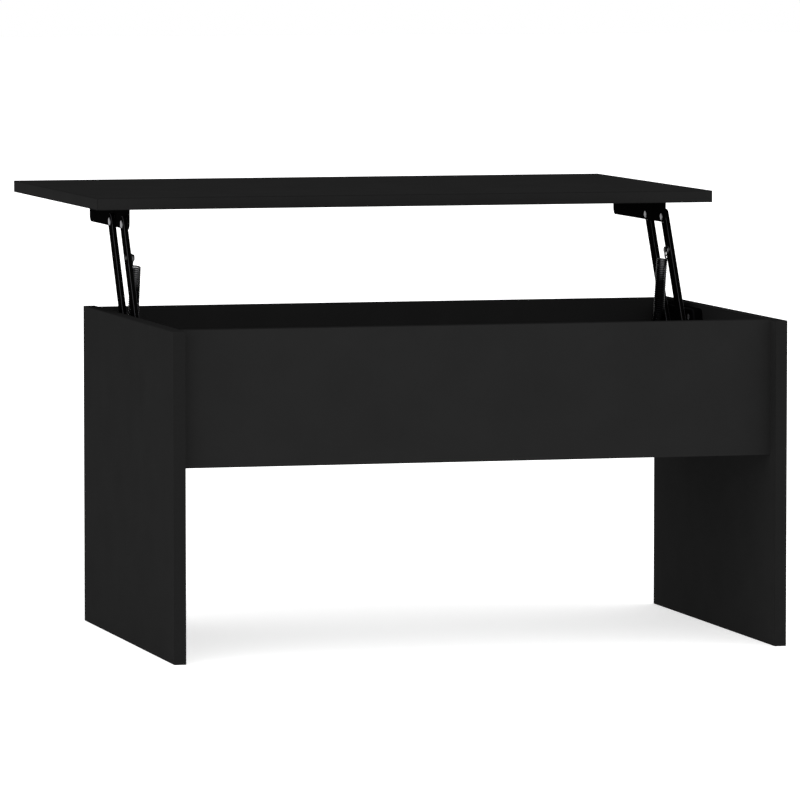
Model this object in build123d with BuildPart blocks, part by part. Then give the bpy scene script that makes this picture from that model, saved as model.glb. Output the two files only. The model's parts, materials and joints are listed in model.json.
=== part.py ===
from build123d import *
from math import asin, atan2, cos, degrees, hypot, radians, sin
import os

# Lift top coffee table, in millimetres.
# Frame: origin on the floor under the middle of the whole table with its lid raised, +Z up,
# +X to the right. -Y is the front; the raised lid stands shifted towards +Y.
# Y below is measured from the middle of the body's depth until each piece is saved.

# ---------------------------------------------------------------- driving dimensions
BOARD = 15.0  # thickness of every board
BODY_WIDTH = 770.0  # outside to outside of the two side panels
BODY_DEPTH = 500.0
BODY_HEIGHT = 400.0
APRON_SETBACK = 20.0  # the aprons stand back from the side panels' edges
BOX_FLOOR = 234.0  # lowest face of the aprons and of the bottom panel
LID_WIDTH = 800.0
LID_DEPTH = 505.0
EDGE_EASE = 0.6  # rounding of the boards' edges

LID_SHIFT = 351.8  # how far the raised lid stands behind the closed lid
LID_UNDERSIDE = 527.84  # height of the raised lid's underside
LID_SEAT_GAP = 0.2  # gap left under the closed lid

ARM_LENGTH = 247.0  # pivot to pivot
ARM_WIDTH = 20.0
ARM_INNER = 351.4  # |X| of the arms' inner face
ARM_THICK = 5.2
ARM_EASE = 0.5
REAR_PIVOT_Y = 223.0  # upper pivot of the rear arm with the lid raised
PIVOT_SPACING = 68.8  # rear arm to front arm
PIVOT_DROP = 20.34  # upper pivots below the lid's underside
PLAY = 0.1  # axial and radial play of every turning joint

SHEET = 2.0  # sheet thickness of the base brackets
TOP_SHEET = 1.5  # sheet thickness of the top brackets
BEND = 2.5  # outer radius of their bends
FLANGE_INNER = 349.4  # |X| of the top bracket's upright flange, inner face
FLANGE_FRONT = 140.0
FLANGE_LENGTH = 226.0
FLANGE_HEIGHT = 27.0
FLANGE_CORNER = 9.0
FOOT_WIDTH = 30.0  # the top bracket's level flange, screwed to the lid
TOP_SCREW_INSETS = (25.0, 113.0, 201.0)  # from the flange's front end

WEB_INNER = 357.6  # |X| of the base bracket's web, inner face
BRACKET_OUTLINE = ((10.0, 258.0), (47.0, 396.0), (206.0, 396.0), (206.0, 258.0))
BRACKET_CORNER = 9.0
BASE_SCREW_POINTS = ((65.0, 385.0), (190.0, 385.0), (48.0, 269.0), (190.0, 269.0))

RIVET_R = 4.0
WASHER_R = 9.0
LOWER_HEAD_R = 7.0
UPPER_HEAD_R = 5.0
UPPER_END_R = 4.5
HEAD_HEIGHT = 2.1
UPPER_HEAD_HEIGHT = 0.9

SPRING_X = 343.9  # |X| of the spring's axis
COIL_R = 7.2  # outer radius of the coil
COIL_BORE_R = 5.4  # bore of the tube that stands for the coil
WIRE = 2.0  # diameter of the spring's wire
SPRING_FOOT = (162.0, 315.0)  # Y and Z of the lower spring stud
STUD_ON_ARM = 200.0  # upper spring stud, along the front arm from its lower pivot
STUD_R = 3.0
STUD_HEAD_R = 4.2
LOOP_R = 4.2  # centre line radius of the loops at the spring's ends
FOOT_NECK = 15.0  # stud centre to coil, at each end of the spring
HEAD_NECK = 11.6

STOP_R = 5.0
STOP_REACH = 95.0  # stop stud, along the rear arm from its lower pivot

CAM_R = 7.5
CAM_DEPTH = 12.5
CAM_SETBACK = 34.0  # cam centre from the end of its board
CAM_CROSS = 9.0
CAM_CROSS_WIDTH = 1.6
BOLT_R = 3.0
BOLT_NECK_R = 2.0
BOLT_HEAD_R = 3.2
BOLT_BORE_R = 3.6
DOWEL_R = 4.0
DOWEL_IN_BOARD = 18.0
PANEL_BORE = 11.0  # depth of the bolt and dowel bores in the side panels
FIT = 0.02  # radial play of screws, bolts and dowels

SCREW_R = 2.0
SCREW_HEAD_R = 4.0
SCREW_HEAD_HEIGHT = 1.6
SCREW_BITE = 12.0  # screw length in the board
SLEEVE_R = 5.0

# ---------------------------------------------------------------- worked-out places
INNER_X = BODY_WIDTH / 2 - BOARD  # inner face of a side panel
APRON_Y = BODY_DEPTH / 2 - APRON_SETBACK - BOARD / 2
APRON_MID_Z = (BOX_FLOOR + BODY_HEIGHT) / 2
APRON_DOWEL_ZS = (BOX_FLOOR + 40, BODY_HEIGHT - 35)
FLOOR_DEPTH = BODY_DEPTH - 2 * (APRON_SETBACK + BOARD)
FLOOR_MID_Z = BOX_FLOOR + BOARD / 2
FLOOR_CAM_Y = 120.0
FLOOR_DOWEL_Y = 175.0

FLOOR_BOLT_POINTS = [(y, FLOOR_MID_Z) for y in (-FLOOR_CAM_Y, FLOOR_CAM_Y)]
FLOOR_DOWEL_POINTS = [(y, FLOOR_MID_Z) for y in (-FLOOR_DOWEL_Y, FLOOR_DOWEL_Y)]
BOLT_POINTS = [(y, APRON_MID_Z) for y in (-APRON_Y, APRON_Y)] + FLOOR_BOLT_POINTS
DOWEL_POINTS = [(y, z) for y in (-APRON_Y, APRON_Y) for z in APRON_DOWEL_ZS] + FLOOR_DOWEL_POINTS

LID_RISE = LID_UNDERSIDE - BODY_HEIGHT - LID_SEAT_GAP
SWING = 2 * degrees(asin(hypot(LID_SHIFT, LID_RISE) / (2 * ARM_LENGTH)))
OPEN_ANGLE = 90 + degrees(atan2(LID_RISE, LID_SHIFT)) - SWING / 2  # arm's rise from +Y
ARM_COS = cos(radians(OPEN_ANGLE))
ARM_SIN = sin(radians(OPEN_ANGLE))
UPPER_Z = LID_UNDERSIDE - PIVOT_DROP
LOWER_Z = UPPER_Z - ARM_LENGTH * ARM_SIN
LOWER_REAR_Y = REAR_PIVOT_Y - ARM_LENGTH * ARM_COS
LOWER_FRONT_Y = LOWER_REAR_Y - PIVOT_SPACING
LOWER_PIVOTS = ((LOWER_REAR_Y, LOWER_Z), (LOWER_FRONT_Y, LOWER_Z))
UPPER_PIVOTS = ((REAR_PIVOT_Y, UPPER_Z), (REAR_PIVOT_Y - PIVOT_SPACING, UPPER_Z))

ARM_OUTER = ARM_INNER + ARM_THICK
WEB_OUTER = WEB_INNER + SHEET
FLANGE_OUTER = FLANGE_INNER + TOP_SHEET
TOP_SCREW_X = FLANGE_INNER - FOOT_WIDTH / 2
TOP_SCREW_YS = [FLANGE_FRONT + inset for inset in TOP_SCREW_INSETS]

SPRING_HEAD = (LOWER_FRONT_Y + STUD_ON_ARM * ARM_COS, LOWER_Z + STUD_ON_ARM * ARM_SIN)
SPRING_RUN = (SPRING_HEAD[0] - SPRING_FOOT[0], SPRING_HEAD[1] - SPRING_FOOT[1])
SPRING_LENGTH = hypot(*SPRING_RUN)
HOOK_X = SPRING_X + (COIL_R + COIL_BORE_R) / 2  # the end loops stand at the coil's arm side

STOP_ASIDE = ARM_WIDTH / 2 + STOP_R + PLAY
STOP_POINT = (
    LOWER_REAR_Y + STOP_REACH * ARM_COS + STOP_ASIDE * ARM_SIN,
    LOWER_Z + STOP_REACH * ARM_SIN - STOP_ASIDE * ARM_COS,
)

MIDDLE_Y = (LID_SHIFT + LID_DEPTH / 2 - BODY_DEPTH / 2) / 2  # middle of the raised table

SIDES = ((-1, "left"), (1, "right"))


def save(piece, name):
    """Moves the piece from the body's middle to the table's frame and exports it."""
    placed = Pos(0, -MIDDLE_Y, 0) * piece.part
    placed.label = name
    export_step(placed, f"parts/{name}.step")


# ---------------------------------------------------------------- shared steps of the builders
def bar_along_x(points, radius, x_from, x_to, mode=Mode.ADD):
    """Round bars or bores along X through each Y, Z point."""
    with BuildSketch(Plane.YZ.offset(x_from)) as profile:
        with Locations(*points):
            Circle(radius)
    extrude(profile.sketch, amount=x_to - x_from, mode=mode)


def dome_head(points, radius, x_base, height):
    """Domed rivet heads on the plane X = x_base, rising to x_base + height."""
    with BuildSketch(Plane.YZ.offset(x_base)) as profile:
        with Locations(*points):
            Circle(radius)
    extrude(profile.sketch, amount=height, taper=30)


def cam_planes_of_apron(y_centre):
    """Face of each cam in an apron, looking into the box."""
    inward = -1 if y_centre > 0 else 1
    face_y = y_centre + inward * BOARD / 2
    return [
        Plane(origin=(x, face_y, APRON_MID_Z), x_dir=(1, 0, 0), z_dir=(0, inward, 0))
        for x in (CAM_SETBACK - INNER_X, INNER_X - CAM_SETBACK)
    ]


def cam_planes_of_floor():
    """Face of each cam under the bottom panel."""
    return [
        Plane(origin=(x, y, BOX_FLOOR), x_dir=(1, 0, 0), z_dir=(0, 0, -1))
        for x in (CAM_SETBACK - INNER_X, INNER_X - CAM_SETBACK)
        for y in (-FLOOR_CAM_Y, FLOOR_CAM_Y)
    ]


def end_bores(points, depth, radius):
    """Bores along X into both ends of a board that spans the side panels."""
    for side in (-1, 1):
        bar_along_x(points, radius, side * INNER_X, side * (INNER_X - depth), Mode.SUBTRACT)


def cam_bores(planes):
    for plane in planes:
        with BuildSketch(plane) as face:
            Circle(CAM_R)
        extrude(face.sketch, amount=-CAM_DEPTH, mode=Mode.SUBTRACT)


# ---------------------------------------------------------------- boards
def side_panel(side):
    inner = side * INNER_X
    with BuildPart() as panel:
        with BuildSketch(Plane.YZ.offset(inner)):
            with Locations((0, BODY_HEIGHT / 2)):
                Rectangle(BODY_DEPTH, BODY_HEIGHT)
        extrude(amount=side * BOARD)
        fillet(panel.edges(), radius=EDGE_EASE)
        bore_end = inner + side * PANEL_BORE
        bar_along_x(BOLT_POINTS, BOLT_R + FIT, inner, bore_end, Mode.SUBTRACT)
        bar_along_x(DOWEL_POINTS, DOWEL_R + FIT, inner, bore_end, Mode.SUBTRACT)
        bite_end = inner + side * SCREW_BITE
        bar_along_x(BASE_SCREW_POINTS, SCREW_R + FIT, inner, bite_end, Mode.SUBTRACT)
    return panel


def apron(y_centre):
    """Front or rear board of the box, its cams facing inwards."""
    with BuildPart() as board:
        with Locations((0, y_centre, APRON_MID_Z)):
            Box(2 * INNER_X, BOARD, BODY_HEIGHT - BOX_FLOOR)
        fillet(board.edges().filter_by(Axis.X), radius=EDGE_EASE)
        end_bores([(y_centre, z) for z in APRON_DOWEL_ZS], DOWEL_IN_BOARD, DOWEL_R + FIT)
        end_bores([(y_centre, APRON_MID_Z)], CAM_SETBACK, BOLT_BORE_R)
        cam_bores(cam_planes_of_apron(y_centre))
    return board


def lid_board():
    with BuildPart() as lid:
        with Locations((0, LID_SHIFT, LID_UNDERSIDE + BOARD / 2)):
            Box(LID_WIDTH, LID_DEPTH, BOARD)
        fillet(lid.edges(), radius=EDGE_EASE)
        with BuildSketch(Plane.XY.offset(LID_UNDERSIDE)):
            for side in (-1, 1):
                with Locations(*[(side * TOP_SCREW_X, y) for y in TOP_SCREW_YS]):
                    Circle(SCREW_R + FIT)
        extrude(amount=SCREW_BITE, mode=Mode.SUBTRACT)
    return lid


def bottom_board():
    with BuildPart() as board:
        with Locations((0, 0, FLOOR_MID_Z)):
            Box(2 * INNER_X, FLOOR_DEPTH, BOARD)
        end_bores(FLOOR_DOWEL_POINTS, DOWEL_IN_BOARD, DOWEL_R + FIT)
        end_bores(FLOOR_BOLT_POINTS, CAM_SETBACK, BOLT_BORE_R)
        cam_bores(cam_planes_of_floor())
    return board


# ---------------------------------------------------------------- board fasteners
def cam_locks():
    """Cast drums with a cross recess, one over the head of every cam bolt."""
    planes = cam_planes_of_apron(-APRON_Y) + cam_planes_of_apron(APRON_Y) + cam_planes_of_floor()
    with BuildPart() as cams:
        for plane in planes:
            with BuildSketch(plane):
                Circle(CAM_R - PLAY)
            extrude(amount=PLAY - CAM_DEPTH)
        for plane in planes:
            with BuildSketch(plane):
                Rectangle(CAM_CROSS, CAM_CROSS_WIDTH)
                Rectangle(CAM_CROSS_WIDTH, CAM_CROSS)
            extrude(amount=-SHEET, mode=Mode.SUBTRACT)
        for side in (-1, 1):
            bar_along_x(
                BOLT_POINTS,
                BOLT_BORE_R,
                side * (INNER_X - CAM_SETBACK),
                side * INNER_X,
                Mode.SUBTRACT,
            )
    return cams


def cam_bolts():
    """Bolts from the side panels into the cams: threaded end, shank, neck and head."""
    head_from = INNER_X - CAM_SETBACK + PLAY
    head_to = head_from + BOLT_R
    neck_to = INNER_X - CAM_SETBACK + CAM_R + BOLT_R
    with BuildPart() as bolts:
        for side in (-1, 1):
            bar_along_x(BOLT_POINTS, BOLT_R, side * (INNER_X + PANEL_BORE), side * neck_to)
            bar_along_x(BOLT_POINTS, BOLT_NECK_R, side * neck_to, side * head_to)
            bar_along_x(BOLT_POINTS, BOLT_HEAD_R, side * head_to, side * head_from)
    return bolts


def dowels():
    with BuildPart() as pins:
        for side in (-1, 1):
            x_out = side * (INNER_X + PANEL_BORE - PLAY)
            x_in = side * (INNER_X - DOWEL_IN_BOARD + PLAY)
            bar_along_x(DOWEL_POINTS, DOWEL_R, x_out, x_in)
    return pins


# ---------------------------------------------------------------- base brackets
def base_bracket(side):
    """Pressed pan, open towards the side panel; both arms turn on its web."""
    with BuildPart() as bracket:
        with BuildSketch(Plane.YZ.offset(side * WEB_INNER)):
            with BuildLine():
                Polyline(*BRACKET_OUTLINE, close=True)
            make_face()
            fillet(vertices(), radius=BRACKET_CORNER)
        extrude(amount=side * (INNER_X - WEB_INNER))
        web_face = bracket.faces().sort_by(Axis.X)[0 if side > 0 else -1]
        fillet(web_face.edges(), radius=BEND)
        rim_face = bracket.faces().sort_by(Axis.X)[-1 if side > 0 else 0]
        offset(amount=-SHEET, openings=rim_face)
        inner, outer = side * WEB_INNER, side * WEB_OUTER
        bar_along_x(LOWER_PIVOTS, RIVET_R + FIT, inner, outer, Mode.SUBTRACT)
        bar_along_x([SPRING_FOOT, STOP_POINT], STUD_R + FIT, inner, outer, Mode.SUBTRACT)
        bar_along_x(BASE_SCREW_POINTS, SCREW_R + PLAY, inner, outer, Mode.SUBTRACT)
        countersinks(side, Mode.SUBTRACT)
    return bracket


def countersinks(side, mode):
    """Cones of the flat screw heads, flush with the web's inner face."""
    with BuildSketch(Plane.YZ.offset(side * WEB_INNER)) as heads:
        with Locations(*BASE_SCREW_POINTS):
            Circle(SCREW_HEAD_R)
    extrude(heads.sketch, amount=side * (SHEET - 2 * PLAY), taper=45, mode=mode)


def base_sleeves(side):
    """Spacer tubes that carry each screw's load from the web to the panel."""
    with BuildPart() as sleeves:
        bar_along_x(BASE_SCREW_POINTS, SLEEVE_R, side * WEB_OUTER, side * INNER_X)
        bar_along_x(
            BASE_SCREW_POINTS, SCREW_R + PLAY, side * WEB_OUTER, side * INNER_X, Mode.SUBTRACT
        )
    return sleeves


def base_screws(side):
    with BuildPart() as screws:
        countersinks(side, Mode.ADD)
        tip = side * (INNER_X + SCREW_BITE)
        bar_along_x(BASE_SCREW_POINTS, SCREW_R, side * (WEB_INNER + PLAY), tip)
        with BuildSketch(Plane.YZ.offset(side * WEB_INNER)):
            with Locations(*BASE_SCREW_POINTS):
                Rectangle(SCREW_HEAD_R, CAM_CROSS_WIDTH / 2)
                Rectangle(CAM_CROSS_WIDTH / 2, SCREW_HEAD_R)
        extrude(amount=side * SHEET / 2, mode=Mode.SUBTRACT)
    return screws


def lower_rivets(side):
    """Shoulder rivets, fast in the web, that both arms turn on."""
    with BuildPart() as rivets:
        dome_head(LOWER_PIVOTS, LOWER_HEAD_R, side * (ARM_INNER - PLAY), -side * HEAD_HEIGHT)
        bar_along_x(LOWER_PIVOTS, RIVET_R, side * (ARM_INNER - PLAY), side * WEB_OUTER)
        dome_head(LOWER_PIVOTS, LOWER_HEAD_R, side * WEB_OUTER, side * HEAD_HEIGHT)
    return rivets


def lower_washers(side):
    with BuildPart() as washers:
        x_from, x_to = side * (ARM_OUTER + PLAY), side * WEB_INNER
        bar_along_x(LOWER_PIVOTS, WASHER_R, x_from, x_to)
        bar_along_x(LOWER_PIVOTS, RIVET_R + FIT, x_from, x_to, Mode.SUBTRACT)
    return washers


def stop_stud(side):
    """Stud that the rear arm leans on while the lid is raised."""
    with BuildPart() as stud:
        bar_along_x([STOP_POINT], STOP_R, side * ARM_INNER, side * WEB_INNER)
        bar_along_x([STOP_POINT], STUD_R, side * WEB_INNER, side * WEB_OUTER)
        dome_head([STOP_POINT], STOP_R, side * WEB_OUTER, side * HEAD_HEIGHT)
    return stud


def lower_spring_stud(side):
    """Stud on the web with a head that keeps the spring's lower loop on."""
    with BuildPart() as stud:
        neck_from = side * (HOOK_X - LOOP_R / 2)
        bar_along_x([SPRING_FOOT], STUD_R, neck_from, side * WEB_OUTER)
        dome_head([SPRING_FOOT], STUD_HEAD_R, neck_from, -side * HEAD_HEIGHT)
        bar_along_x([SPRING_FOOT], STOP_R, side * (HOOK_X + LOOP_R / 2), side * WEB_INNER)
    return stud


# ---------------------------------------------------------------- arms and springs
def lift_arm(side, lower_pivot, stud_hole):
    middle = (
        lower_pivot[0] + ARM_LENGTH / 2 * ARM_COS,
        lower_pivot[1] + ARM_LENGTH / 2 * ARM_SIN,
    )
    with BuildPart() as arm:
        with BuildSketch(Plane.YZ.offset(side * ARM_INNER)):
            with Locations(middle):
                SlotCenterToCenter(ARM_LENGTH, ARM_WIDTH, rotation=OPEN_ANGLE)
        extrude(amount=side * ARM_THICK)
        flats = arm.faces().filter_by(Axis.X)
        fillet(flats.edges(), radius=ARM_EASE)
        upper_pivot = (
            lower_pivot[0] + ARM_LENGTH * ARM_COS,
            lower_pivot[1] + ARM_LENGTH * ARM_SIN,
        )
        pivots = [lower_pivot, upper_pivot]
        inner, outer = side * ARM_INNER, side * ARM_OUTER
        bar_along_x(pivots, RIVET_R + PLAY, inner, outer, Mode.SUBTRACT)
        if stud_hole:
            bar_along_x([SPRING_HEAD], STUD_R + FIT, inner, outer, Mode.SUBTRACT)
    return arm


def upper_spring_stud(side):
    """Stud riveted through the front arm; the spring's upper loop hangs on it."""
    with BuildPart() as stud:
        neck_from = side * (HOOK_X - WIRE)
        bar_along_x([SPRING_HEAD], STUD_R, neck_from, side * (ARM_OUTER - PLAY))
        dome_head([SPRING_HEAD], STUD_HEAD_R, neck_from, -side * HEAD_HEIGHT)
    return stud


def spring_plane(side, along):
    """Plane across the spring's axis, at a distance along it from the lower stud."""
    reach = along / SPRING_LENGTH
    origin = (
        side * SPRING_X,
        SPRING_FOOT[0] + reach * SPRING_RUN[0],
        SPRING_FOOT[1] + reach * SPRING_RUN[1],
    )
    return Plane(origin=origin, x_dir=(side, 0, 0), z_dir=(0, *SPRING_RUN))


def end_loop(side, stud_point, neck_from, neck_to):
    """Loop around a stud and the straight neck that joins it to the coil."""
    centre = (side * HOOK_X, *stud_point)
    with BuildSketch(Plane(origin=centre, x_dir=(0, 1, 0), z_dir=(0, 0, 1))) as wire:
        with Locations((LOOP_R, 0)):
            Circle(WIRE / 2)
    revolve(wire.sketch, axis=Axis(centre, (1, 0, 0)))
    with BuildSketch(spring_plane(side, neck_from)) as neck:
        with Locations((HOOK_X - SPRING_X, 0)):
            Circle(WIRE / 2)
    extrude(neck.sketch, amount=neck_to - neck_from)


def lift_spring(side):
    """Close-wound coil, drawn as a tube of the same size and weight, with its lower loop."""
    coil_to = SPRING_LENGTH - HEAD_NECK
    with BuildPart() as spring:
        with BuildSketch(spring_plane(side, FOOT_NECK)):
            Circle(COIL_R)
            Circle(COIL_BORE_R, mode=Mode.SUBTRACT)
        extrude(amount=coil_to - FOOT_NECK)
        end_loop(side, SPRING_FOOT, LOOP_R, FOOT_NECK + WIRE / 2)
    return spring


def spring_hook(side):
    """Upper end of the spring's wire: its neck and the loop on the front arm's stud."""
    with BuildPart() as hook:
        coil_to = SPRING_LENGTH - HEAD_NECK
        end_loop(side, SPRING_HEAD, coil_to + PLAY, SPRING_LENGTH - LOOP_R)
    return hook


# ---------------------------------------------------------------- top brackets
def top_bracket(side):
    """Angle under the lid: upright flange for the pivots, level flange for the screws."""
    flange_mid = FLANGE_FRONT + FLANGE_LENGTH / 2
    with BuildPart() as bracket:
        with BuildSketch(Plane.YZ.offset(side * FLANGE_INNER)):
            with Locations((flange_mid, LID_UNDERSIDE - FLANGE_HEIGHT / 2)):
                Rectangle(FLANGE_LENGTH, FLANGE_HEIGHT)
            fillet(vertices().group_by(Axis.Y)[0], radius=FLANGE_CORNER)
        extrude(amount=side * TOP_SHEET)
        with BuildSketch(Plane.XY.offset(LID_UNDERSIDE - TOP_SHEET)):
            with Locations((side * (FLANGE_OUTER - FOOT_WIDTH / 2), flange_mid)):
                Rectangle(FOOT_WIDTH, FLANGE_LENGTH)
        extrude(amount=TOP_SHEET)
        heel = bracket.edges().filter_by(Axis.Y).sort_by(Axis.Z)[-2:]
        fillet(heel.sort_by(Axis.X)[-1 if side > 0 else 0], radius=BEND)
        x_from, x_to = side * FLANGE_INNER, side * FLANGE_OUTER
        bar_along_x(UPPER_PIVOTS, RIVET_R + FIT, x_from, x_to, Mode.SUBTRACT)
        with BuildSketch(Plane.XY.offset(LID_UNDERSIDE - TOP_SHEET)):
            with Locations(*[(side * TOP_SCREW_X, y) for y in TOP_SCREW_YS]):
                Circle(SCREW_R + PLAY)
        extrude(amount=TOP_SHEET, mode=Mode.SUBTRACT)
    return bracket


def top_screws(side):
    """Pan-head screws, driven up through the level flange into the lid."""
    points = [(side * TOP_SCREW_X, y) for y in TOP_SCREW_YS]
    with BuildPart() as screws:
        with BuildSketch(Plane.XY.offset(LID_UNDERSIDE - TOP_SHEET)):
            with Locations(*points):
                Circle(SCREW_HEAD_R)
        extrude(amount=-SCREW_HEAD_HEIGHT, taper=15)
        with BuildSketch(Plane.XY.offset(LID_UNDERSIDE - TOP_SHEET)):
            with Locations(*points):
                Circle(SCREW_R)
        extrude(amount=TOP_SHEET + SCREW_BITE)
        with BuildSketch(Plane.XY.offset(LID_UNDERSIDE - TOP_SHEET - SCREW_HEAD_HEIGHT)):
            with Locations(*points):
                Rectangle(SCREW_HEAD_R, CAM_CROSS_WIDTH / 2)
                Rectangle(CAM_CROSS_WIDTH / 2, SCREW_HEAD_R)
        extrude(amount=SCREW_HEAD_HEIGHT / 2, mode=Mode.SUBTRACT)
    return screws


def upper_rivets(side):
    """Rivets fast in the top bracket, with their heads on the arms' outer faces."""
    with BuildPart() as rivets:
        dome_head(UPPER_PIVOTS, UPPER_HEAD_R, side * (ARM_OUTER + PLAY), side * UPPER_HEAD_HEIGHT)
        bar_along_x(UPPER_PIVOTS, RIVET_R, side * FLANGE_INNER, side * (ARM_OUTER + PLAY))
        dome_head(UPPER_PIVOTS, UPPER_END_R, side * FLANGE_INNER, -side * UPPER_HEAD_HEIGHT)
    return rivets


def upper_washers(side):
    with BuildPart() as washers:
        x_from, x_to = side * FLANGE_OUTER, side * (ARM_INNER - PLAY)
        bar_along_x(UPPER_PIVOTS, WASHER_R - 1, x_from, x_to)
        bar_along_x(UPPER_PIVOTS, RIVET_R + FIT, x_from, x_to, Mode.SUBTRACT)
    return washers


# ---------------------------------------------------------------- the whole table
os.makedirs("parts", exist_ok=True)
save(apron(-APRON_Y), "front_apron")
save(apron(APRON_Y), "back_apron")
save(bottom_board(), "bottom_panel")
save(lid_board(), "lid_panel")
save(cam_locks(), "cam_locks")
save(cam_bolts(), "cam_bolts")
save(dowels(), "wood_dowels")
for side, word in SIDES:
    save(side_panel(side), f"{word}_side_panel")
    save(base_bracket(side), f"{word}_base_bracket")
    save(base_sleeves(side), f"{word}_base_sleeves")
    save(base_screws(side), f"{word}_base_screws")
    save(lower_rivets(side), f"{word}_lower_rivets")
    save(lower_washers(side), f"{word}_lower_washers")
    save(stop_stud(side), f"{word}_stop_stud")
    save(lower_spring_stud(side), f"{word}_lower_spring_stud")
    save(lift_arm(side, LOWER_PIVOTS[0], False), f"{word}_rear_arm")
    save(lift_arm(side, LOWER_PIVOTS[1], True), f"{word}_front_arm")
    save(upper_spring_stud(side), f"{word}_upper_spring_stud")
    save(lift_spring(side), f"{word}_lift_spring")
    save(spring_hook(side), f"{word}_spring_hook")
    save(top_bracket(side), f"{word}_top_bracket")
    save(top_screws(side), f"{word}_top_screws")
    save(upper_rivets(side), f"{word}_upper_rivets")
    save(upper_washers(side), f"{word}_upper_washers")

CLOSED_HEAD = (
    LOWER_FRONT_Y + STUD_ON_ARM * cos(radians(OPEN_ANGLE + SWING)),
    LOWER_Z + STUD_ON_ARM * sin(radians(OPEN_ANGLE + SWING)),
)
CLOSED_RUN = (CLOSED_HEAD[0] - SPRING_FOOT[0], CLOSED_HEAD[1] - SPRING_FOOT[1])
SPRING_SWING = degrees(atan2(CLOSED_RUN[1], CLOSED_RUN[0]) - atan2(SPRING_RUN[1], SPRING_RUN[0]))
print(f"pieces are saved {MIDDLE_Y:.4f} further forward than the places below")
print(f"arm swing {SWING:.4f} deg from {OPEN_ANGLE:.4f} deg")
print(f"lower pivots at y {LOWER_REAR_Y:.4f} and {LOWER_FRONT_Y:.4f}, z {LOWER_Z:.4f}")
print(f"spring swings {SPRING_SWING:.4f} deg and grows {hypot(*CLOSED_RUN) - SPRING_LENGTH:.4f}")
print(f"spring run {SPRING_RUN}, length {SPRING_LENGTH:.4f}, head at {SPRING_HEAD}")
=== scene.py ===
import json
import math

import bpy
from bpy.props import FloatProperty, FloatVectorProperty, PointerProperty
from bpy.types import Operator, Panel, PropertyGroup
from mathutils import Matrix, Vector


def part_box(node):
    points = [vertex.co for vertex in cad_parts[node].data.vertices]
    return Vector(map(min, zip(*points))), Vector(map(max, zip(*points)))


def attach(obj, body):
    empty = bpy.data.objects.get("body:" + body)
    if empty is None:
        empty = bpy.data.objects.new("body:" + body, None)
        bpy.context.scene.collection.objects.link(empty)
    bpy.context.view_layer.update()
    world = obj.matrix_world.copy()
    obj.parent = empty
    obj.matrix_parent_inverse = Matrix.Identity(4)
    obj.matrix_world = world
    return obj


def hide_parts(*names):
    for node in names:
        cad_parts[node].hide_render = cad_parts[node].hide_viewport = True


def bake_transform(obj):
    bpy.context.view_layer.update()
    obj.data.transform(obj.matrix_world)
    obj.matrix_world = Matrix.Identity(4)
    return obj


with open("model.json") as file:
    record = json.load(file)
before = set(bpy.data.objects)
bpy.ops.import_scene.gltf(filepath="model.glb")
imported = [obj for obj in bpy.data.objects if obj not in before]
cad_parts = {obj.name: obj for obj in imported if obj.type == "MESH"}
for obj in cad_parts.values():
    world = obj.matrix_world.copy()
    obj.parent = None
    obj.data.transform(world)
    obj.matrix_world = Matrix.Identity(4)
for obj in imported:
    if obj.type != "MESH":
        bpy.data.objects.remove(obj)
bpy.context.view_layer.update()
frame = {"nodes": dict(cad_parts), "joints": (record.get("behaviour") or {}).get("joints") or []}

bl_info = {
    "name": "Lift Top Coffee Table",
    "version": (1, 0, 0),
    "blender": (4, 5, 0),
    "location": "3D View > Sidebar > Table",
    "description": "Models and finishes a lift top coffee table around its packed frame",
    "category": "Add Mesh",
}

SIDES = ("left", "right")
MM = 0.001

CLOUD = 60 * MM  # width of the slow changes in the melamine's black
GRAIN = 1.2 * MM  # width of the melamine's grain, three times as coarse as life so that it shows
TURN_POINTS = 16  # points of the spring's wire in each turn
LOOP_POINTS = 18  # points of the wire round each end loop
LOOP_START = -20  # degrees round the loop at which its free tip lies
LOOP_SWEEP = 250  # degrees from the tip to where the wire leaves for the coil
PAINTED_HIGHLIGHT_SPAN = (30 * MM, 6 * MM)  # below the coil's top: where the springs' painted highlight starts, and is full
STUD_EDGE = 0.4 * MM  # rounding of the spring studs' edges
SHOULDER_GAP = 0.05 * MM  # from a stud's shoulder to the arm
FLOOR_SIZE = 60
FLOOR_GLOW = 0.62  # the floor's own light, which keeps the shadows faint
LAMPS = (  # name, place, size and power
    ("key_light", (-0.9, -5.2, 1.7), 0.5, 26),
    ("fill_light", (-2.6, -3.2, 3.0), 2.2, 10),
)
LAMPS_AIM = (0, 0.05, 0.3)


# ---------------------------------------------------------------- places read from the frame
def centre_of(node):
    low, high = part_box(node)
    return (low + high) / 2


def joint_named(name):
    return next(joint for joint in frame["joints"] if joint["name"] == name)


def outward(side):
    """-1 on the left, +1 on the right: the way from the table's middle to that side."""
    return -1 if side == "left" else 1


# ---------------------------------------------------------------- sizes and colours a user would change
class BoardSettings(PropertyGroup):
    """Black melamine-faced boards and their edge banding."""

    face_colour: FloatVectorProperty(
        name="Face colour", description="Black of the melamine faces",
        subtype="COLOR", size=3, min=0, max=1, default=(0.0142, 0.0142, 0.0142))
    band_colour: FloatVectorProperty(
        name="Band colour", description="Black of the edge banding",
        subtype="COLOR", size=3, min=0, max=1, default=(0.0112, 0.0112, 0.0112))
    band: FloatProperty(
        name="Band", description="Thickness of the edge banding",
        default=0.8 * MM, unit="LENGTH")
    seam: FloatProperty(
        name="Seam", description="Half the width of the glue seam beside the banding",
        default=0.15 * MM, unit="LENGTH")
    ease: FloatProperty(
        name="Ease", description="Rounding of the boards' corners",
        default=0.6 * MM, unit="LENGTH")


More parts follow.
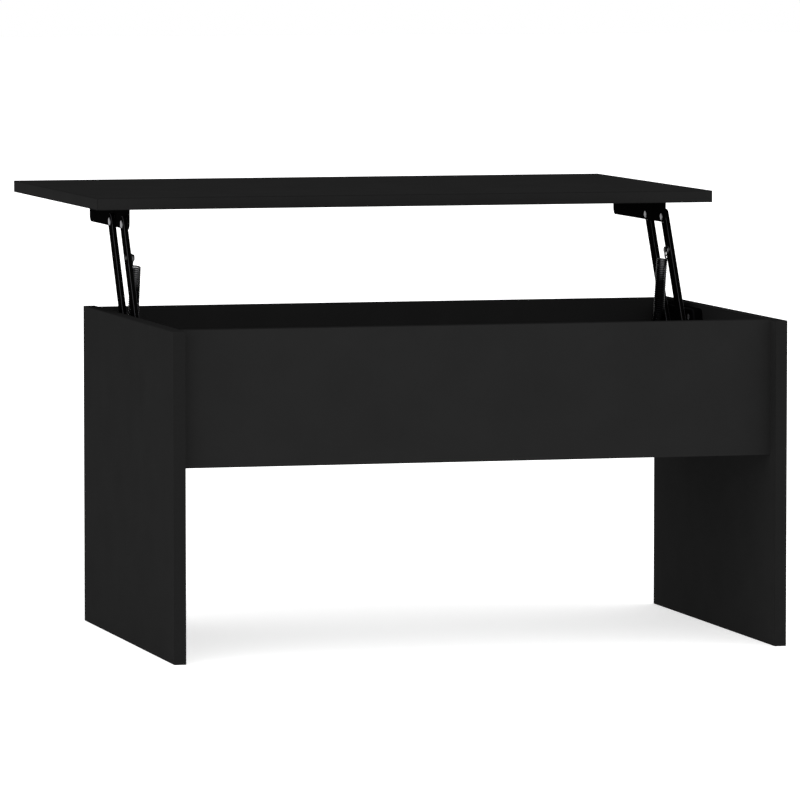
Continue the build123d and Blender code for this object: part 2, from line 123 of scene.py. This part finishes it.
class SpringSettings(PropertyGroup):
    """Close-wound extension springs with a loop at each end."""

    wire: FloatProperty(
        name="Wire", description="Diameter of the spring wire", default=2.2 * MM, unit="LENGTH")
    coil: FloatProperty(
        name="Coil", description="Outer diameter of the coil", default=14.4 * MM, unit="LENGTH")
    pitch: FloatProperty(
        name="Pitch", description="Rise of each turn", default=2.5 * MM, unit="LENGTH")
    loop: FloatProperty(
        name="Loop", description="Outer diameter of the end loops", default=13.6 * MM, unit="LENGTH")
    foot_inset: FloatProperty(
        name="Foot inset", description="Lower loop's plane, in from the coil's side",
        default=0.5 * MM, unit="LENGTH")
    head_inset: FloatProperty(
        name="Head inset", description="Upper loop's plane, in from the coil's side",
        default=1.0 * MM, unit="LENGTH")
    bearing: FloatProperty(
        name="Bearing", description="Stud's centre to the loop's centre", default=1.5 * MM,
        unit="LENGTH")
    foot_neck: FloatProperty(
        name="Foot neck", description="Lower stud's centre to the first turn", default=15.0 * MM,
        unit="LENGTH")
    head_neck: FloatProperty(
        name="Head neck", description="Last turn to the upper stud's centre", default=11.6 * MM,
        unit="LENGTH")
    stud_radius: FloatProperty(
        name="Stud", description="Radius of the upper studs", default=3.0 * MM, unit="LENGTH")
    stud_head: FloatProperty(
        name="Stud head", description="Thickness of the studs' heads", default=1.6 * MM,
        unit="LENGTH")
    shoulder: FloatProperty(
        name="Shoulder", description="Thickness of the studs' shoulders", default=1.0 * MM,
        unit="LENGTH")
    shoulder_radius: FloatProperty(
        name="Shoulder radius", description="Radius of the studs' shoulders", default=5.0 * MM,
        unit="LENGTH")


class StudioSettings(PropertyGroup):
    """Camera, floor and light."""

    azimuth: FloatProperty(
        name="Azimuth", description="Camera's turn about the table", subtype="ANGLE",
        default=math.radians(-15.083))
    elevation: FloatProperty(
        name="Elevation", description="Camera's height above the horizon", subtype="ANGLE",
        default=math.radians(4.488))
    distance: FloatProperty(
        name="Distance", description="Camera to the point it looks at", default=8.27,
        unit="LENGTH")
    target: FloatVectorProperty(
        name="Target", description="Point that the camera looks at", size=3, unit="LENGTH",
        subtype="XYZ", default=(-0.04241, -0.19372, 0.29360))
    lens: FloatProperty(
        name="Lens", description="Focal length on a 36 mm wide sensor, in mm", default=300.2)


# ---------------------------------------------------------------- node and colour helpers
def linear(hex_colour, alpha=1.0):
    """Linear colour of an sRGB hex value such as "#1E1E1E"."""
    channels = [int(hex_colour[i:i + 2], 16) / 255 for i in (1, 3, 5)]
    bent = [c / 12.92 if c <= 0.04045 else ((c + 0.055) / 1.055) ** 2.4 for c in channels]
    return (*bent, alpha)


def add_node(material, kind, values=None, links=None):
    """Adds a shader node, sets its sockets or properties, and links sources into it."""
    node = material.node_tree.nodes.new(kind)
    for name, value in (values or {}).items():
        if isinstance(name, int) or name in node.inputs:
            node.inputs[name].default_value = value
        else:
            setattr(node, name, value)
    for name, source in (links or {}).items():
        material.node_tree.links.new(source, node.inputs[name])
    return node


def new_material(name):
    """An empty node material with its output, and the output node."""
    material = bpy.data.materials.new(name)
    material.use_nodes = True
    material.node_tree.nodes.clear()
    return material, add_node(material, "ShaderNodeOutputMaterial")


def noise_by_size(material, size, detail=2.0, roughness=0.5):
    """Noise on object coordinates whose grains are about this many metres wide."""
    place = add_node(material, "ShaderNodeTexCoord")
    return add_node(
        material, "ShaderNodeTexNoise",
        {"Scale": 1 / size, "Detail": detail, "Roughness": roughness},
        {"Vector": place.outputs["Object"]})


def mix_colours(material, factor, first, second):
    ramp = add_node(material, "ShaderNodeValToRGB", links={"Fac": factor})
    ramp.color_ramp.elements[0].color = first
    ramp.color_ramp.elements[1].color = second
    return ramp


def remap(material, source, low, high):
    """Noise between about 0.3 and 0.7 spread to a value from low to high."""
    spread = add_node(
        material, "ShaderNodeMapRange",
        {"From Min": 0.3, "From Max": 0.7, "To Min": low, "To Max": high},
        {"Value": source})
    return spread.outputs["Result"]


def finish_shader(material, output, values, links):
    shader = add_node(material, "ShaderNodeBsdfPrincipled", values, links)
    material.node_tree.links.new(shader.outputs["BSDF"], output.inputs["Surface"])
    return shader


# ---------------------------------------------------------------- materials
def melamine_board(colour):
    """Black melamine paper, hot pressed on particleboard: an even, deep matt black whose fine
    pearl grain only shows in the gloss, with slow cloudy changes in how matt it is."""
    material, output = new_material("melamine_faced_board_pressed")
    cloud = noise_by_size(material, CLOUD, 3)
    grain = noise_by_size(material, GRAIN, 3)
    tint = mix_colours(
        material, cloud.outputs["Fac"],
        (*[c * 0.9 for c in colour], 1), (*[c * 1.12 for c in colour], 1))
    bump = add_node(
        material, "ShaderNodeBump", {"Strength": 0.25, "Distance": 0.05 * MM},
        {"Height": grain.outputs["Fac"]})
    finish_shader(
        material, output,
        {"IOR": 1.5, "Specular IOR Level": 0.0},
        {"Base Color": tint.outputs["Color"],
         "Roughness": remap(material, cloud.outputs["Fac"], 0.6, 0.7),
         "Normal": bump.outputs["Normal"]})
    return material


def edge_band(colour):
    """Black ABS edging, extruded and trimmed flush: a little smoother than the melamine, with
    faint lines along the board left by the trimming wheel."""
    material, output = new_material("abs_edge_band_trimmed")
    place = add_node(material, "ShaderNodeTexCoord")
    stretch = add_node(
        material, "ShaderNodeMapping", {"Scale": (30, 30, 900)},
        {"Vector": place.outputs["Object"]})
    lines = add_node(
        material, "ShaderNodeTexNoise", {"Scale": 1.0, "Detail": 2.0},
        {"Vector": stretch.outputs["Vector"]})
    bump = add_node(
        material, "ShaderNodeBump", {"Strength": 0.15, "Distance": 0.04 * MM},
        {"Height": lines.outputs["Fac"]})
    tint = mix_colours(
        material, lines.outputs["Fac"],
        (*[c * 0.92 for c in colour], 1), (*[c * 1.1 for c in colour], 1))
    finish_shader(
        material, output,
        {"IOR": 1.52, "Specular IOR Level": 0.0},
        {"Base Color": tint.outputs["Color"],
         "Roughness": remap(material, lines.outputs["Fac"], 0.42, 0.5),
         "Normal": bump.outputs["Normal"]})
    return material


def powder_coat(name, edge_highlight_colour):
    """Black polyester powder, sprayed and baked on steel: a deep black with a soft orange peel.
    Along the rounded edges a lighter colour is painted in as a highlight, which shows as a line on
    narrow bars."""
    material, output = new_material(name)
    place = add_node(material, "ShaderNodeTexCoord")
    facing = add_node(material, "ShaderNodeSeparateXYZ", links={0: place.outputs["Normal"]})
    side = add_node(
        material, "ShaderNodeMath", {"operation": "ABSOLUTE"}, {0: facing.outputs["X"]})
    # Mask of the rounded edges, found by their slanted normals: where the painted highlight goes
    edge = add_node(
        material, "ShaderNodeMath", {"operation": "COMPARE", 1: 0.62, 2: 0.32},
        {0: side.outputs[0]})
    peel = noise_by_size(material, 0.9 * MM, 2)
    smear = noise_by_size(material, 25 * MM, 4, 0.6)
    bump = add_node(
        material, "ShaderNodeBump", {"Strength": 0.3, "Distance": 0.04 * MM},
        {"Height": peel.outputs["Fac"]})
    tint = mix_colours(material, smear.outputs["Fac"], linear("#030303"), linear("#080808"))
    # Painted highlight: the rounded edges take the lighter edge colour
    painted_edge_highlight = add_node(
        material, "ShaderNodeMix", {"data_type": "RGBA", 7: linear(edge_highlight_colour)},
        {0: edge.outputs[0], 6: tint.outputs["Color"]})
    finish_shader(
        material, output, {"IOR": 1.5, "Specular IOR Level": 0.0},
        {"Base Color": painted_edge_highlight.outputs[2],
         "Roughness": remap(material, smear.outputs["Fac"], 0.4, 0.5),
         "Normal": bump.outputs["Normal"]})
    return material


def zinc_plate(name, dark, light, low, high):
    """Zinc-plated steel from a tumbling barrel: dull grey with a blotchy bloom and fine pits."""
    material, output = new_material(name)
    bloom = noise_by_size(material, 2.5 * MM, 5, 0.65)
    pits = noise_by_size(material, 0.4 * MM, 2)
    bump = add_node(
        material, "ShaderNodeBump", {"Strength": 0.3, "Distance": 0.02 * MM},
        {"Height": pits.outputs["Fac"]})
    tint = mix_colours(material, bloom.outputs["Fac"], linear(dark), linear(light))
    finish_shader(
        material, output, {"Metallic": 1.0},
        {"Base Color": tint.outputs["Color"],
         "Roughness": remap(material, bloom.outputs["Fac"], low, high),
         "Normal": bump.outputs["Normal"]})
    return material


def spring_steel(highlight_from, highlight_to):
    """Hard-drawn spring wire, blackened and oiled: near black, with a painted highlight of light grey
    on the front-facing crown of each turn near the upper end, which shows as a ladder of light streaks."""
    material, output = new_material("spring_wire_blackened_painted_highlight")
    place = add_node(material, "ShaderNodeTexCoord")
    facing = add_node(material, "ShaderNodeSeparateXYZ", links={0: place.outputs["Normal"]})
    # Painted highlight: only the front-facing crown of the wire, where a lamp in front would shine
    front_facing_mask = add_node(
        material, "ShaderNodeMapRange", {"From Min": -0.72, "From Max": -0.97},
        {"Value": facing.outputs["Y"]})
    height = add_node(material, "ShaderNodeSeparateXYZ", links={0: place.outputs["Object"]})
    # Painted highlight: only near the coil's top, fading out downwards as if lit from above
    upper = add_node(
        material, "ShaderNodeMapRange", {"From Min": highlight_from, "From Max": highlight_to},
        {"Value": height.outputs["Z"]})
    painted_highlight_mask = add_node(
        material, "ShaderNodeMath", {"operation": "MULTIPLY"},
        {0: front_facing_mask.outputs["Result"], 1: upper.outputs["Result"]})
    wear = noise_by_size(material, 1.5 * MM, 4, 0.6)
    tint = mix_colours(material, wear.outputs["Fac"], linear("#0C0C0D"), linear("#19191A"))
    # The painted highlight mixes a light grey into the black
    painted_crown_highlight = add_node(
        material, "ShaderNodeMix", {"data_type": "RGBA", 7: linear("#8A8A8C")},
        {0: painted_highlight_mask.outputs[0], 6: tint.outputs["Color"]})
    bump = add_node(
        material, "ShaderNodeBump", {"Strength": 0.2, "Distance": 0.02 * MM},
        {"Height": wear.outputs["Fac"]})
    finish_shader(
        material, output, {"Metallic": 1.0},
        {"Base Color": painted_crown_highlight.outputs[2],
         "Roughness": remap(material, wear.outputs["Fac"], 0.32, 0.44),
         "Normal": bump.outputs["Normal"]})
    return material


def beech_dowel():
    """Turned beech: pale straw, with growth rings along the dowel and short dark flecks."""
    material, output = new_material("beech_dowel_turned")
    place = add_node(material, "ShaderNodeTexCoord")
    along = add_node(
        material, "ShaderNodeMapping", {"Scale": (0.12, 1, 1)},
        {"Vector": place.outputs["Object"]})
    rings = add_node(
        material, "ShaderNodeTexWave", {"Scale": 160.0, "Distortion": 4.0, "Detail": 3.0},
        {"Vector": along.outputs["Vector"]})
    tint = mix_colours(material, rings.outputs["Fac"], linear("#B98F63"), linear("#D8B488"))
    finish_shader(
        material, output, {"Roughness": 0.65}, {"Base Color": tint.outputs["Color"]})
    return material


def melamine_with_banded_edges(face, band):
    """One shader for a board left as it was cut: banding on level edges, melamine elsewhere."""
    material, output = new_material("melamine_board_with_banded_edges")
    place = add_node(material, "ShaderNodeTexCoord")
    level = add_node(material, "ShaderNodeSeparateXYZ", links={0: place.outputs["Normal"]})
    size = add_node(
        material, "ShaderNodeMath", {"operation": "ABSOLUTE"}, {0: level.outputs["Z"]})
    mask = add_node(
        material, "ShaderNodeMath", {"operation": "GREATER_THAN", 1: 0.7},
        {0: size.outputs[0]})
    cloud = noise_by_size(material, CLOUD, 3)
    grain = noise_by_size(material, GRAIN, 3)
    tint = mix_colours(
        material, cloud.outputs["Fac"],
        (*[c * 0.9 for c in face], 1), (*[c * 1.12 for c in face], 1))
    pick = add_node(
        material, "ShaderNodeMix", {"data_type": "RGBA", 7: (*band, 1)},
        {0: mask.outputs[0], 6: tint.outputs["Color"]})
    bump = add_node(
        material, "ShaderNodeBump", {"Strength": 0.25, "Distance": 0.05 * MM},
        {"Height": grain.outputs["Fac"]})
    finish_shader(
        material, output, {"IOR": 1.5, "Specular IOR Level": 0.0},
        {"Base Color": pick.outputs[2],
         "Roughness": remap(material, cloud.outputs["Fac"], 0.5, 0.58),
         "Normal": bump.outputs["Normal"]})
    return material


def painted_highlight_heights():
    """Heights between which the springs' painted highlight fades in, from none to full."""
    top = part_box("left_lift_spring")[1].z
    start, full = PAINTED_HIGHLIGHT_SPAN
    return top - start, top - full


MATERIALS = {}


def material(name):
    """The finished material of this name, made the first time it is asked for."""
    if name not in MATERIALS:
        boards = bpy.context.scene.table_boards
        makers = {
            "melamine": lambda: melamine_board(boards.face_colour),
            "band": lambda: edge_band(boards.band_colour),
            "cut_board": lambda: melamine_with_banded_edges(
                boards.face_colour, boards.band_colour),
            # Both coats carry a painted highlight on their rounded edges: a grey line on the bars, a
            # faint one on the sheet
            "bar_coat": lambda: powder_coat("powder_coated_bar_painted_edge_highlight", "#4C4C4E"),
            "sheet_coat": lambda: powder_coat("powder_coated_sheet_black", "#0E0E0F"),
            "black_oxide": lambda: zinc_plate(
                "stud_steel_black_oxide", "#0A0A0B", "#1A1A1B", 0.45, 0.6),
            "zinc": lambda: zinc_plate("zinc_plated_steel_tumbled", "#6E6E70", "#98989A", 0.4, 0.55),
            "rivet": lambda: zinc_plate("rivet_steel_formed", "#626264", "#8B8B8D", 0.38, 0.52),
            "cast": lambda: zinc_plate("zinc_alloy_die_cast", "#77777A", "#A3A3A6", 0.45, 0.6),
            "spring": lambda: spring_steel(*painted_highlight_heights()),
            "beech": beech_dowel,
        }
        MATERIALS[name] = makers[name]()
    return MATERIALS[name]


# ---------------------------------------------------------------- mesh helpers
def deselect():
    if bpy.context.mode != "OBJECT":
        bpy.ops.object.mode_set(mode="OBJECT")
    bpy.ops.object.select_all(action="DESELECT")


def activate(piece):
    deselect()
    piece.select_set(True)
    bpy.context.view_layer.objects.active = piece


def select_faces(piece, wanted):
    """In edit mode, selects the faces for which wanted(face) is true."""
    bpy.ops.object.mode_set(mode="OBJECT")
    mesh = piece.data
    for group in (mesh.vertices, mesh.edges, mesh.polygons):
        group.foreach_set("select", [False] * len(group))
    for face in mesh.polygons:
        face.select = bool(wanted(face))
    bpy.ops.object.mode_set(mode="EDIT")
    bpy.ops.mesh.select_mode(type="FACE")


def settle(piece):
    """Puts the piece's place into its mesh, so that the object sits at the origin."""
    activate(piece)
    bpy.ops.object.transform_apply(location=True, rotation=True, scale=True)


def joined(name, parts):
    """One piece of this name from several parts."""
    for part in parts:
        settle(part)
    deselect()
    for part in parts:
        part.select_set(True)
    bpy.context.view_layer.objects.active = parts[0]
    bpy.ops.object.join()
    piece = bpy.context.view_layer.objects.active
    piece.name = name
    piece.data.name = name
    return piece


def smooth(piece, degrees=35):
    activate(piece)
    bpy.ops.object.shade_smooth_by_angle(angle=math.radians(degrees))


def dress(piece, *names):
    piece.data.materials.clear()
    for name in names:
        piece.data.materials.append(material(name))


def hand_over(piece, body, slot, *nodes):
    """Gives a finished piece its body and hides the nodes that it stands for. The slot argument is not
    used.
    """
    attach(piece, body)
    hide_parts(*nodes)


# ---------------------------------------------------------------- pieces
class TABLE_OT_banded_boards(Operator):
    """Model the lid and the side panels as boards with edge banding and its glue seam"""

    bl_idname = "coffee_table.banded_boards"
    bl_label = "Banded boards"

    def execute(self, context):
        boards = context.scene.table_boards
        for node, axis, body in (
            ("lid_panel", 2, "lid"),
            ("left_side_panel", 0, "carcass"),
            ("right_side_panel", 0, "carcass"),
        ):
            low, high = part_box(node)
            deselect()
            bpy.ops.mesh.primitive_cube_add(
                size=1, location=(low + high) / 2, scale=high - low)
            board = context.object
            board.name = board.data.name = node + "_banded"
            settle(board)
            dress(board, "band", "melamine")
            select_faces(board, lambda face: abs(face.normal[axis]) > 0.9)
            bpy.ops.mesh.inset(thickness=boards.band, use_individual=True)
            bpy.ops.mesh.inset(
                thickness=boards.seam, depth=-boards.seam / 2, use_individual=True)
            bpy.ops.mesh.inset(
                thickness=boards.seam, depth=boards.seam / 2, use_individual=True)
            context.object.active_material_index = 1
            bpy.ops.object.material_slot_assign()
            bpy.ops.object.mode_set(mode="OBJECT")
            outer = board.modifiers.new("ease", "BEVEL")
            outer.width = boards.ease
            outer.segments = 3
            outer.limit_method = "ANGLE"
            outer.angle_limit = math.radians(60)
            bpy.ops.object.modifier_apply(modifier=outer.name)
            smooth(board, 40)
            hand_over(board, body, "board", node)
        return {"FINISHED"}


class TABLE_OT_plain_parts(Operator):
    """Give every piece that keeps its shape the finish of what it is made of"""

    bl_idname = "coffee_table.plain_parts"
    bl_label = "Plain parts"

    def execute(self, context):
        finishes = {
            "front_apron": "cut_board", "back_apron": "cut_board", "bottom_panel": "melamine",
            "lid_panel": "melamine", "side_panel": "melamine", "cam_locks": "cast",
            "cam_bolts": "zinc", "wood_dowels": "beech", "base_bracket": "sheet_coat",
            "top_bracket": "bar_coat", "rear_arm": "bar_coat", "front_arm": "bar_coat",
            "base_sleeves": "zinc", "base_screws": "zinc",
            "top_screws": "zinc", "lower_rivets": "rivet", "upper_rivets": "rivet",
            "lower_washers": "black_oxide", "upper_washers": "black_oxide",
            "stop_stud": "black_oxide", "lower_spring_stud": "black_oxide",
            "upper_spring_stud": "black_oxide",
            "lift_spring": "spring", "spring_hook": "spring",
        }
        for node, piece in frame["nodes"].items():
            kind = node.split("_", 1)[1] if node.startswith(SIDES) else node
            dress(piece, finishes[kind])
        return {"FINISHED"}


class TABLE_OT_lift_springs(Operator):
    """Wind each lift spring from one wire, with a standing loop at both ends"""

    bl_idname = "coffee_table.lift_springs"
    bl_label = "Lift springs"

    def execute(self, context):
        for side in SIDES:
            self.wind(context, side)
        return {"FINISHED"}

    def wind(self, context, side):
        sizes = context.scene.table_springs
        swing = joint_named(side + "_spring_swing")
        stretch = joint_named(side + "_spring_stretch")
        foot, along = Vector(swing["pos_m"]), Vector(stretch["axis"]).normalized()
        head = centre_of(side + "_upper_spring_stud")
        length = (head - foot).dot(along)
        out = Vector((outward(side), 0, 0))
        across = along.cross(out)
        mean = (sizes.coil - sizes.wire) / 2
        loop = (sizes.loop - sizes.wire) / 2
        low, high = sizes.foot_neck, length - sizes.head_neck
        turns = round((high - low) / sizes.pitch)
        steps = turns * TURN_POINTS

        def at(x, y, z):
            return foot + out * x + across * y + along * z

        lower = self.loop(loop, sizes.bearing, sizes.foot_neck)
        upper = self.loop(loop, sizes.bearing, sizes.head_neck)
        points = [at(mean - sizes.foot_inset, -y, z) for y, z in lower]
        for step in range(steps + 1):
            angle = 2 * math.pi * turns * step / steps
            points.append(at(
                mean * math.cos(angle), mean * math.sin(angle), low + (high - low) * step / steps))
        points += [at(mean - sizes.head_inset, y, length - z) for y, z in reversed(upper)]
        curve = bpy.data.curves.new(side + "_spring_wire", "CURVE")
        curve.dimensions = "3D"
        curve.bevel_depth = sizes.wire / 2
        curve.bevel_resolution = 2
        curve.resolution_u = 2
        curve.use_fill_caps = True
        wire = curve.splines.new("NURBS")
        wire.points.add(len(points) - 1)
        for point, place in zip(wire.points, points):
            point.co = (*place, 1)
        wire.order_u = 4
        wire.use_endpoint_u = True
        piece = bpy.data.objects.new(side + "_wound_spring", curve)
        context.scene.collection.objects.link(piece)
        activate(piece)
        bpy.ops.object.convert(target="MESH")
        piece = context.object
        dress(piece, "spring")
        bpy.ops.object.shade_smooth()
        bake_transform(piece)
        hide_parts(side + "_lift_spring", side + "_spring_hook")

    def loop(self, radius, bearing, neck):
        """Across and along places of an end loop, from its free tip to just before the coil.
        The stud is at the start; the coil begins one neck further on."""
        places = []
        for step in range(LOOP_POINTS + 1):
            angle = math.radians(LOOP_START - LOOP_SWEEP * step / LOOP_POINTS)
            places.append((radius * math.sin(angle), bearing + radius * math.cos(angle)))
        gap = neck - bearing
        places.append((radius * 0.96, bearing + gap * 0.42))
        places.append((radius * 0.62, bearing + gap * 0.8))
        places.append((radius * 0.28, neck - 0.12 * MM))
        return places


class TABLE_OT_spring_studs(Operator):
    """Turn the upper spring studs: a bright shoulder against the arm and a blackened head"""

    bl_idname = "coffee_table.spring_studs"
    bl_label = "Spring studs"

    def execute(self, context):
        sizes = context.scene.table_springs
        for side in SIDES:
            node = side + "_upper_spring_stud"
            low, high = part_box(node)
            middle = (low + high) / 2
            arm_low, arm_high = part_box(side + "_front_arm")
            way = outward(side)
            inner_end, outer_end = sorted((low.x * way, high.x * way))
            arm_face = min(arm_low.x * way, arm_high.x * way)
            head_end = inner_end + sizes.stud_head
            discs = (
                (inner_end, head_end, (high.z - low.z) / 2, "black_oxide"),
                (head_end, outer_end, sizes.stud_radius, "black_oxide"),
                (arm_face - sizes.shoulder, arm_face - SHOULDER_GAP, sizes.shoulder_radius, "rivet"),
            )
            parts = [self.disc(way, middle, *disc) for disc in discs]
            stud = joined(node + "_turned", parts)
            smooth(stud, 40)
            hand_over(stud, side + "_front_arm", "rivet_steel", node)
        return {"FINISHED"}

    def disc(self, way, middle, start, end, radius, finish):
        deselect()
        bpy.ops.mesh.primitive_cylinder_add(
            vertices=40, radius=radius, depth=end - start,
            location=(way * (start + end) / 2, middle.y, middle.z),
            rotation=(0, math.pi / 2, 0))
        piece = bpy.context.object
        edge = piece.modifiers.new("edge", "BEVEL")
        edge.width = min(STUD_EDGE, (end - start) * 0.3)
        edge.segments = 3
        bpy.ops.object.modifier_apply(modifier=edge.name)
        dress(piece, finish)
        return piece


class TABLE_OT_studio(Operator):
    """Set the pale floor, the soft light and the camera"""

    bl_idname = "coffee_table.studio"
    bl_label = "Studio"

    def execute(self, context):
        self.floor(context)
        self.lights(context)
        self.camera(context)
        context.scene.view_settings.view_transform = "Standard"
        return {"FINISHED"}

    def floor(self, context):
        deselect()
        bpy.ops.mesh.primitive_plane_add(size=FLOOR_SIZE)
        floor = context.object
        floor.name = "studio_floor"
        paint, output = new_material("studio_floor_matt_white")
        mottle = noise_by_size(paint, 0.4, 2)
        tint = mix_colours(paint, mottle.outputs["Fac"], linear("#F7F7F7"), linear("#FAFAFA"))
        finish_shader(
            paint, output,
            {"Roughness": 0.9, "Specular IOR Level": 0.1, "Emission Strength": FLOOR_GLOW},
            {"Base Color": tint.outputs["Color"], "Emission Color": tint.outputs["Color"]})
        floor.data.materials.append(paint)

    def lights(self, context):
        world = bpy.data.worlds.new("studio_white")
        world.use_nodes = True
        world.node_tree.nodes["Background"].inputs["Color"].default_value = (1, 1, 1, 1)
        world.node_tree.nodes["Background"].inputs["Strength"].default_value = 1.0
        context.scene.world = world
        for name, place, size, power in LAMPS:
            lamp = bpy.data.lights.new(name, "AREA")
            lamp.size = size
            lamp.energy = power
            holder = bpy.data.objects.new(name, lamp)
            context.scene.collection.objects.link(holder)
            holder.location = place
            aim = Vector(LAMPS_AIM) - holder.location
            holder.rotation_euler = aim.to_track_quat("-Z", "Y").to_euler()

    def camera(self, context):
        studio = context.scene.table_studio
        target = Vector(studio.target)
        away = Vector((
            math.sin(studio.azimuth) * math.cos(studio.elevation),
            -math.cos(studio.azimuth) * math.cos(studio.elevation),
            math.sin(studio.elevation)))
        lens = bpy.data.cameras.new("studio_camera")
        lens.lens = studio.lens
        lens.sensor_width = 36
        holder = bpy.data.objects.new("studio_camera", lens)
        context.scene.collection.objects.link(holder)
        holder.location = target + away * studio.distance
        holder.rotation_euler = (
            math.pi / 2 - studio.elevation, 0, studio.azimuth)
        context.scene.camera = holder


# ---------------------------------------------------------------- panel and registration
class TABLE_PT_pieces(Panel):
    """Buttons for the pieces of the coffee table"""

    bl_idname = "TABLE_PT_pieces"
    bl_label = "Lift Top Coffee Table"
    bl_space_type = "VIEW_3D"
    bl_region_type = "UI"
    bl_category = "Table"

    def draw(self, context):
        for piece in PIECE_OPERATORS:
            self.layout.operator(piece.bl_idname)


SETTINGS = {
    "table_boards": BoardSettings,
    "table_springs": SpringSettings,
    "table_studio": StudioSettings,
}
PIECE_OPERATORS = (
    TABLE_OT_plain_parts,
    TABLE_OT_banded_boards,
    TABLE_OT_lift_springs,
    TABLE_OT_spring_studs,
    TABLE_OT_studio,
)


def register():
    for group in (*SETTINGS.values(), *PIECE_OPERATORS, TABLE_PT_pieces):
        bpy.utils.register_class(group)
    for name, group in SETTINGS.items():
        setattr(bpy.types.Scene, name, PointerProperty(type=group))


def unregister():
    for name in SETTINGS:
        delattr(bpy.types.Scene, name)
    for group in (TABLE_PT_pieces, *reversed(PIECE_OPERATORS), *SETTINGS.values()):
        bpy.utils.unregister_class(group)


def main():
    register()
    for piece in PIECE_OPERATORS:
        getattr(bpy.ops.coffee_table, piece.bl_idname.split(".")[1])()


if __name__ == "__main__":
    main()
